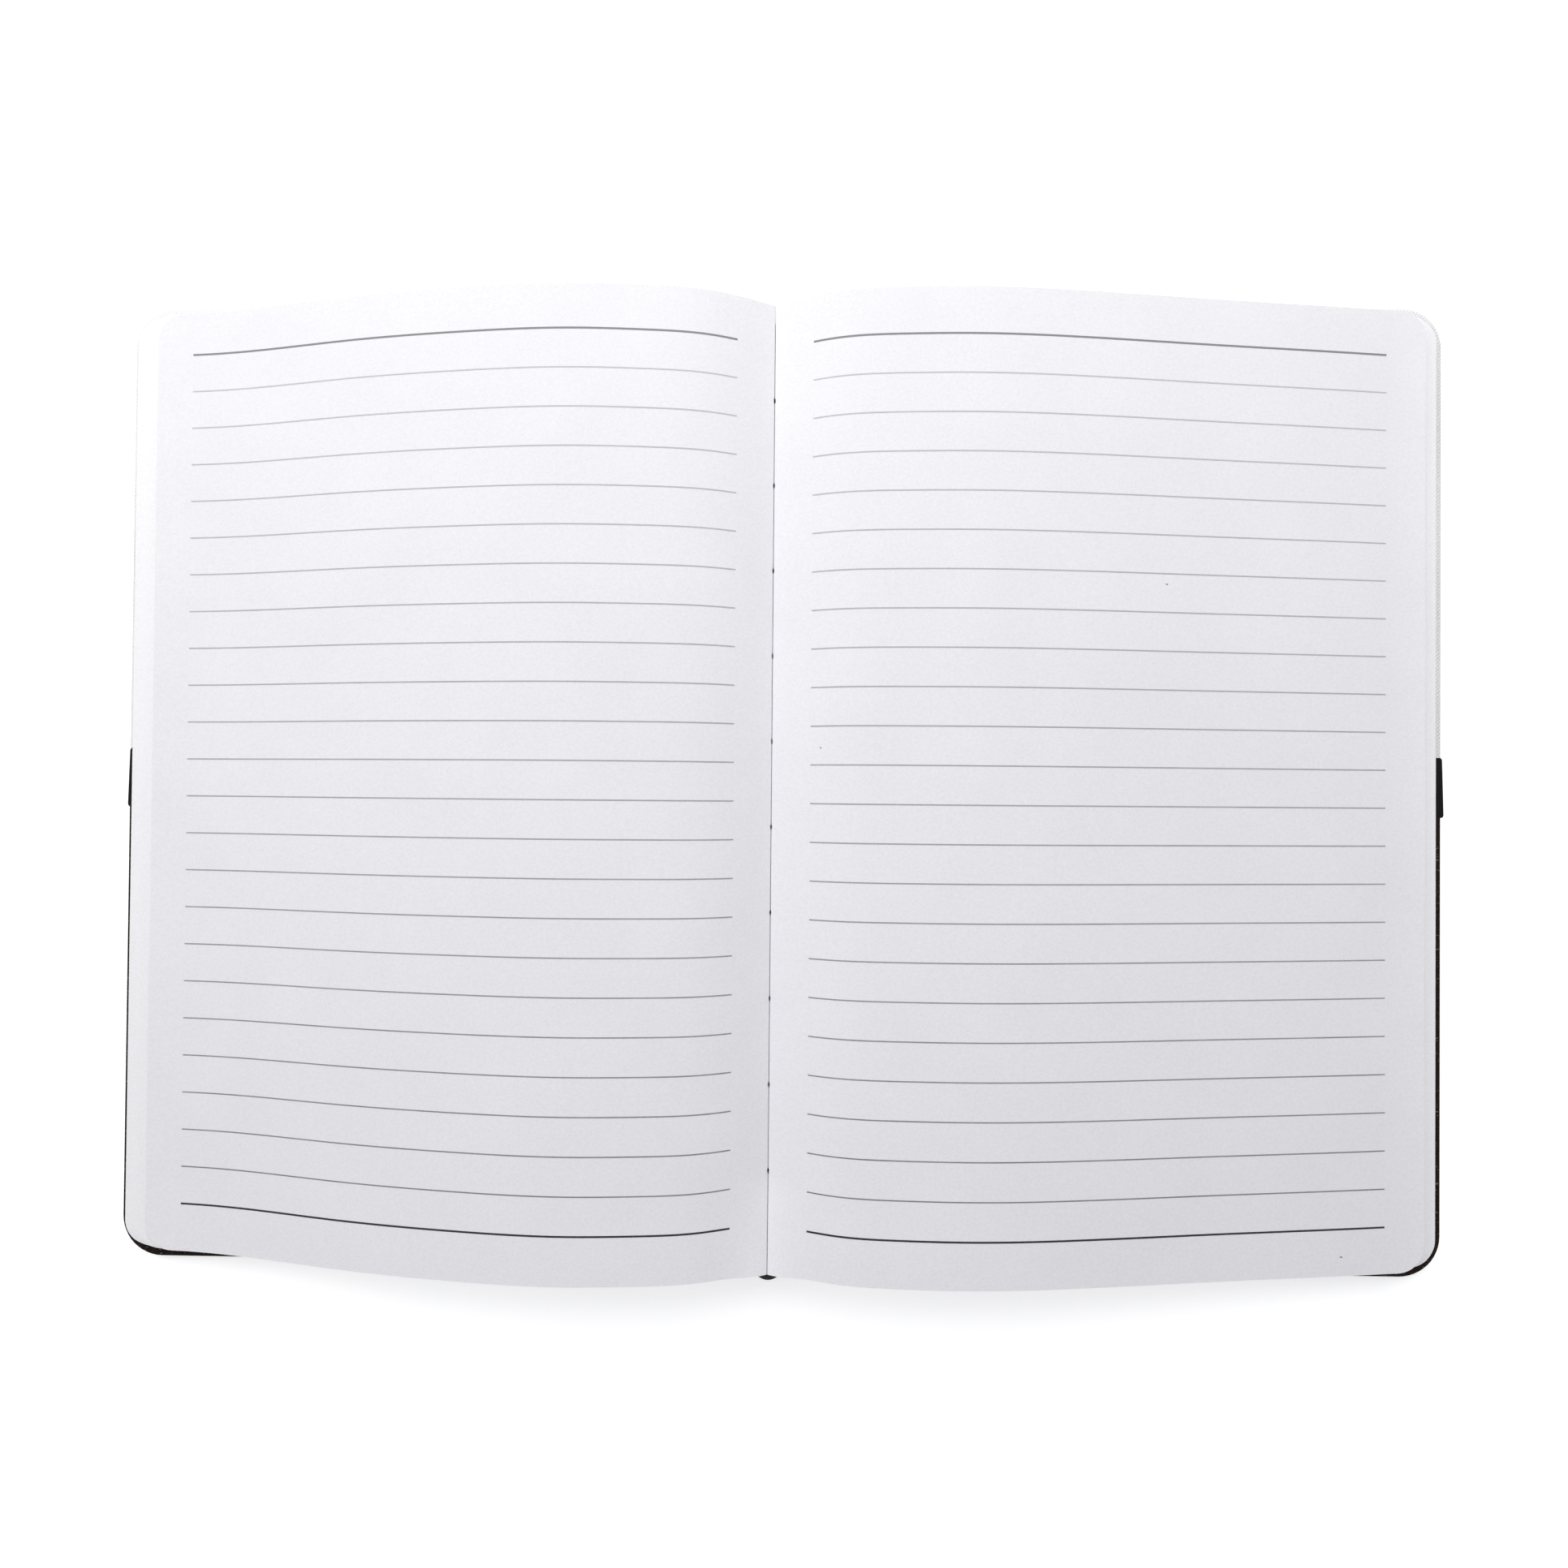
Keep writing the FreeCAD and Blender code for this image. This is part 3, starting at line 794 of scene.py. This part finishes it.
def band_skin(name, side):
    """Ribbed ribbon across a cover, folded thick round the fore-edge."""
    profile = [(COVER_REACH - TURN_IN, TURN_IN_Z)]
    profile += [(COVER_REACH - TURN_IN + BAND_CUT_SLOPE, CASE_TOP)]
    profile += [(COVER_REACH - BAND_FLAT + i, CASE_TOP) for i in range(BAND_FLAT)]
    fold_x = COVER_REACH + BAND_PROUD[side] - BAND_FOLD_R
    for z, start in ((CASE_TOP - BAND_FOLD_R, math.pi / 2), (BAND_FOLD_R, 0.0)):
        for i in range(BAND_FOLD_STEPS + 1):
            a = start - math.pi / 2 * i / BAND_FOLD_STEPS
            profile.append((fold_x + BAND_FOLD_R * math.cos(a), z + BAND_FOLD_R * math.sin(a)))
    x = COVER_REACH - BAND_STEP
    while x > BOARD_START:
        profile.append((x, 0.0))
        x -= BAND_STEP
    profile.append((BOARD_START, 0.0))
    low, high = BAND_LOW + BAND_ROLL_WIDTH, BAND_HIGH - BAND_ROLL_WIDTH
    rows = [BAND_LOW, BAND_LOW + BAND_ROLL_ROW]
    rows += [low + (high - low) * i / BAND_ROWS for i in range(BAND_ROWS + 1)]
    rows += [BAND_HIGH - BAND_ROLL_ROW, BAND_HIGH]
    verts = []
    for y in rows:
        edge = min(y - BAND_LOW, BAND_HIGH - y)
        roll = BAND_ROLL * (1 - min(edge / BAND_ROLL_WIDTH, 1.0)) ** 2
        loose = BAND_LOOSE * (BAND_HIGH - y) / (BAND_HIGH - BAND_LOW) - BAND_LOOSE
        for i, (x, z) in enumerate(profile):
            if z < OUTSIDE_BELOW_Z and x < COVER_REACH - RIBS_END:
                verts.append((side * x, y, z + RIB_H * (i % 2) + roll))
            else:
                pull = (roll * 2.0 - loose) if x > COVER_REACH - PULL_END else 0.0
                verts.append((side * (x - pull), y, z - (roll if z > BOARD_TOP else 0.0)))
    ob = mesh_object(name, verts, grid(len(rows), len(profile)), ["ribbon"])
    recalc(ob)
    thicken(ob, CLOTH_T, degrees=60)
    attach(ob, FRONT if side < 0 else BACK)
    return ob


JOINT_FROM, JOINT_TO, JOINT_STEPS = 4.7, 10.25, 12
JOINT_ROWS, JOINT_INNER_ROWS = 24, 20
JOINT_ROUND = 0.45         # the outside's ends round off over this length
JOINT_INNER_Z = 0.36
JOINT_DIP = 0.10


def joint_strip(name, side):
    """The bare cloth between the spine strip and a board, with all three fields of the case."""
    half = COVER_HALF_Y
    turn_y, outer_y = half - TURN_IN, half - JOINT_ROUND
    # The strip's closed section, y and z: round the head, outside, round the tail, inside
    end = [(turn_y, 0.42), (half - 6.0, 0.78), (half - 0.5, 0.78), (half - 0.12, 0.66),
           (half, 0.4), (half - 0.12, 0.12), (outer_y, 0.0)]
    cuts = [BAND_HIGH, BAND_HIGH - 0.01, BAND_LOW + 0.01, BAND_LOW]
    outside = list(np.linspace(outer_y, BAND_HIGH, JOINT_ROWS)[1:-1]) + cuts
    outside += list(np.linspace(BAND_LOW, -outer_y, JOINT_ROWS)[1:-1])
    loop = end + [(y, 0.0) for y in outside] + [(-y, z) for y, z in end[::-1]]
    loop += [(-turn_y, JOINT_INNER_Z)]
    loop += [(y, JOINT_INNER_Z) for y in np.linspace(-turn_y, turn_y, JOINT_INNER_ROWS)[1:-1]]
    verts, mats = [], []
    for k in range(JOINT_STEPS + 1):
        x = JOINT_FROM + (JOINT_TO - JOINT_FROM) * k / JOINT_STEPS
        dip = JOINT_DIP * math.sin(math.pi * k / JOINT_STEPS)
        verts += [(side * x, y, z + (dip if z < JOINT_INNER_Z else dip / 2)) for y, z in loop]
    for a, b in zip(loop, loop[1:] + loop[:1]):
        y = (a[0] + b[0]) / 2
        mats.append(0 if y > BAND_HIGH else 2 if y < BAND_LOW else 1)
    faces = grid(JOINT_STEPS + 1, len(loop), closed=True)
    ob = mesh_object(name, verts, faces, ["light", "ribbon", "dark"], mats * JOINT_STEPS)
    recalc(ob)
    sharp_edges(ob, degrees=50)
    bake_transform(ob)
    return ob


SPINE_HALF_X, SPINE_STEPS = 4.75, 18
SPINE_ROWS, SPINE_BAND_ROWS = 16, 14
TAIL_CAP_MORE, HEAD_CAP_LESS = 1.0, 1.3        # against SPINE_CAP
CAP_MIDDLE, CAP_HALF = -1.2, 4.4
CAP_LEAST = 0.15
SPINE_BOW = 0.05
SIDE_LIFT, SIDE_LIFT_FROM = 0.10, 3.7          # the outside rises to the joints
SIDE_DROP, SIDE_DROP_FROM = 0.35, 3.9          # and the turned-in cloth slopes down
TURNED_ABOVE_Z, BOWED_ABOVE_Z = 1.2, 1.7
# The rolled cap's section: share of its reach, height
CAP = [(0.1, 1.79), (0.55, 1.74), (0.85, 1.5), (1.0, 1.15),
       (1.0, 0.75), (0.85, 0.35), (0.55, 0.08), (0.1, 0.0)]


def spine_skin(name, y_low, y_high, end, mat):
    """One field of the spine cloth, rolled into a thick rounded cap at its end."""
    half = COVER_HALF_Y
    turned_in = [(half - 10.0, 1.42), (half - 9.6, 1.74), (half - 6.0, 1.79), (half - 1.0, 1.79)]
    stop = abs(y_high if end < 0 else y_low)
    cap_reach = SPINE_CAP + (TAIL_CAP_MORE if end < 0 else -HEAD_CAP_LESS)
    verts = []
    for i in range(SPINE_STEPS + 1):
        x = -SPINE_HALF_X + 2 * SPINE_HALF_X * i / SPINE_STEPS
        bow = SPINE_BOW * (1 - (x / SPINE_HALF_X) ** 2)
        reach = CAP_LEAST + cap_reach * max(0.0, 1 - ((x - CAP_MIDDLE) / CAP_HALF) ** 2)
        if end:
            loop = turned_in + [(half - 1.0 + (1.0 + reach) * k, z) for k, z in CAP]
            loop += [(y, 0.0) for y in np.linspace(half - 1.0, stop, SPINE_ROWS)]
            loop = [(end * y, z) for y, z in loop]
        else:
            loop = [(y, 0.0) for y in np.linspace(y_low, y_high, SPINE_BAND_ROWS)]
        for y, z in loop:
            lift = SIDE_LIFT * max(0.0, abs(x) - SIDE_LIFT_FROM) if z < OUTSIDE_BELOW_Z else 0.0
            drop = SIDE_DROP * max(0.0, abs(x) - SIDE_DROP_FROM) if z > TURNED_ABOVE_Z else 0.0
            verts.append((x, y, z + lift - drop - (bow if z > BOWED_ABOVE_Z else 0.0)))
    ob = mesh_object(name, verts, grid(SPINE_STEPS + 1, len(loop)), [mat])
    recalc(ob)
    thicken(ob, CLOTH_T)
    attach(ob, ROOT)
    return ob


# Stage, lights and camera

FLOOR_HALF, FLOOR_Z = 4.0, -0.0002   # metres
FLOOR_WHITE = 0.45                   # strength of the floor's own white, for camera rays only
FILL_STRENGTH = 0.465
LAMP_SIZE, LAMP_TARGET = 0.5, (0.0, 0.0, 0.01)
HEAD_LIGHT_AT, HEAD_LIGHT_W = (0.0, 0.50, 0.35), 2.75
SIDE_LIGHT_AT, SIDE_LIGHT_W = (-0.55, 0.40, 0.45), 1.55
CAMERA_F_PX = 875.3                  # focal length in the photograph's pixels
PHOTO_PX = 1932
SENSOR = 36.0
CAMERA_AT = (3.52, -1.03, 158.0)
CAMERA_TILT = (-0.434, -0.751, -0.486)         # degrees
CLIP_START = 0.005                   # metres


def seen_directly(nt):
    """1 for camera, mirror and glass rays, 0 for the light that falls on the object."""
    path = nt.nodes.new("ShaderNodeLightPath")
    seen = math_node(nt, "MAXIMUM", path.outputs["Is Camera Ray"], path.outputs["Is Glossy Ray"])
    return math_node(nt, "MAXIMUM", seen, path.outputs["Is Transmission Ray"])


def build_floor():
    mat, nt, bsdf = new_material("floor_white")
    grain = noise(nt, coords(nt), scale=0.02, detail=3.0)
    colour = ramp(nt, grain, [(0.3, (0.93, 0.93, 0.935)), (0.7, (0.94, 0.94, 0.945))])
    nt.links.new(colour, bsdf.inputs["Base Color"])
    bsdf.inputs["Roughness"].default_value = 0.9
    bsdf.inputs["Specular IOR Level"].default_value = 0.1
    bsdf.inputs["Emission Color"].default_value = (1.0, 1.0, 1.0, 1.0)
    white = math_node(nt, "MULTIPLY", seen_directly(nt), FLOOR_WHITE)
    nt.links.new(white, bsdf.inputs["Emission Strength"])
    me = bpy.data.meshes.new("floor")
    s = FLOOR_HALF
    me.from_pydata([(-s, -s, 0), (s, -s, 0), (s, s, 0), (-s, s, 0)], [], [[0, 1, 2, 3]])
    me.materials.append(mat)
    ob = bpy.data.objects.new("floor", me)
    ob.location.z = FLOOR_Z
    bpy.context.scene.collection.objects.link(ob)


def add_area(name, place, power):
    data = bpy.data.lights.new(name, "AREA")
    data.shape = "DISK"
    data.size = LAMP_SIZE
    data.energy = power
    ob = bpy.data.objects.new(name, data)
    ob.location = place
    ob.rotation_euler = (Vector(LAMP_TARGET) - Vector(place)).to_track_quat("-Z", "Y").to_euler()
    bpy.context.scene.collection.objects.link(ob)


def build_lights():
    world = bpy.data.worlds.new("studio")
    bpy.context.scene.world = world
    world.use_nodes = True
    nt = world.node_tree
    fill = nt.nodes["Background"]
    fill.inputs["Color"].default_value = (0.97, 0.975, 1.0, 1.0)
    fill.inputs["Strength"].default_value = FILL_STRENGTH
    white = nt.nodes.new("ShaderNodeBackground")
    white.inputs["Color"].default_value = (1.0, 1.0, 1.0, 1.0)
    pick = nt.nodes.new("ShaderNodeMixShader")
    nt.links.new(seen_directly(nt), pick.inputs[0])
    nt.links.new(fill.outputs[0], pick.inputs[1])
    nt.links.new(white.outputs[0], pick.inputs[2])
    nt.links.new(pick.outputs[0], nt.nodes["World Output"].inputs["Surface"])
    add_area("head_light", HEAD_LIGHT_AT, HEAD_LIGHT_W)
    add_area("side_light", SIDE_LIGHT_AT, SIDE_LIGHT_W)


def build_camera():
    data = bpy.data.cameras.new("camera")
    data.sensor_width = SENSOR
    data.lens = CAMERA_F_PX / PHOTO_PX * SENSOR
    data.clip_start = CLIP_START
    ob = bpy.data.objects.new("camera", data)
    ax, ay, az = (math.radians(a) for a in CAMERA_TILT)
    tilt_x, tilt_y = Matrix.Rotation(ax, 3, "X"), Matrix.Rotation(ay, 3, "Y")
    to_camera = Matrix.Rotation(az, 3, "Z") @ tilt_y @ tilt_x
    place = Matrix.Translation([c * MM for c in CAMERA_AT])
    ob.matrix_world = place @ to_camera.transposed().to_4x4()
    bpy.context.scene.collection.objects.link(ob)
    bpy.context.scene.camera = ob


# Assembly

pages = [build_upper_leaf(side) for side in SIDES] + [build_leaves(side) for side in SIDES]
for ob in pages + [build_fold_core()]:
    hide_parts("page_block")
for side in SIDES:
    build_ruling(side)
build_thread()
build_flecks()

for side, name in ((-1, "front"), (1, "back")):
    up = skin_field(name + "_upper_skin", side, True, "light")
    low = skin_field(name + "_lower_skin", side, False, "dark")
    band = band_skin(name + "_band_skin", side)
    strip = joint_strip(name + "_joint_cloth", side)
    for ob, cad, slot in ((up, "_cloth_upper", "light_cloth"), (low, "_cloth_lower", "dark_cloth"),
                          (band, "_band", "black_ribbon")):
        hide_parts(name + cad)
for name, lo, hi, end, mat, cad, slot in (
        ("spine_upper_skin", BAND_HIGH, COVER_HALF_Y, 1,
         "light", "spine_cloth_upper", "light_cloth"),
        ("spine_band_skin", BAND_LOW, BAND_HIGH, 0,
         "ribbon", "spine_band", "black_ribbon"),
        ("spine_lower_skin", -COVER_HALF_Y, BAND_LOW, -1,
         "spine_dark", "spine_cloth_lower", "dark_cloth")):
    ob = spine_skin(name, lo, hi, end, mat)
    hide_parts(cad)

for cad, mat in (("front_board", "board"), ("back_board", "board"), ("spine_strip", "board"),
                 ("front_pastedown", "endpaper"), ("back_pastedown", "endpaper"),
                 ("spine_lining", "lining")):
    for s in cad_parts[cad].material_slots:
        s.material = MAT[mat]

build_floor()
build_lights()
build_camera()
bpy.context.scene.view_settings.view_transform = "Standard"
